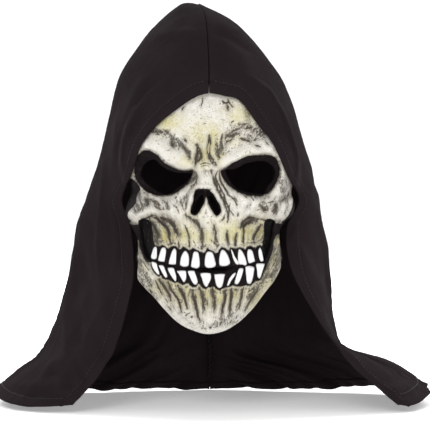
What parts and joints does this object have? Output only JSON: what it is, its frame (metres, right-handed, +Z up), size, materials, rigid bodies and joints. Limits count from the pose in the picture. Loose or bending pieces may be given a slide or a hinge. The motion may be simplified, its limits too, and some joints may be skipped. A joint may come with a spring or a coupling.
{
  "type": "hooded latex skull mask",
  "caption": "Latex skull face mask with a flexing jaw and slit mouth, sewn into the front of a black draped cloth hood with a head elastic inside.",
  "frame": {"origin": "middle of the wearer's head at eye level, on the mount wearer_head", "axes": "+Z up, the face looks along -Y, +X to the viewer's right when facing the mask; X = 0 is the middle of the face"},
  "size_m": [0.403, 0.238, 0.3696],
  "materials": {
    "bone_latex": "satin",
    "black_latex": "satin",
    "tooth_paint": "satin",
    "hood_cloth": "matte",
    "thread": "satin",
    "contact_glue": "satin",
    "elastic": "matte",
    "patch_cloth": "matte",
    "label_cloth": "satin"
  },
  "bodies": {
    "mask": {"face_shell": "bone_latex", "cheek_webs": "black_latex", "upper_teeth": "tooth_paint", "hood_panel_left": "hood_cloth", "hood_panel_right": "hood_cloth", "crown_seam": "hood_cloth", "front_hem_left": "hood_cloth", "front_hem_right": "hood_cloth", "bottom_hem_left": "hood_cloth", "bottom_hem_right": "hood_cloth", "front_hem_thread": "thread", "bottom_hem_thread": "thread", "glue_strip": "contact_glue", "head_elastic": "elastic", "elastic_patches": "patch_cloth", "elastic_stitching": "thread", "care_label": "label_cloth"},
    "jaw": {"jaw_shell": "bone_latex", "lower_teeth": "tooth_paint"}
  },
  "joints": [
    {"name": "jaw_flex", "type": "hinge", "parent": "mask", "child": "jaw", "pos_m": [0, -0.012, -0.028], "axis": [1, 0, 0], "range_deg": [0, 8], "stiffness_Nm_per_rad": 0.6, "springref_deg": -6.88, "deforming": ["cheek_webs"]}
  ]
}
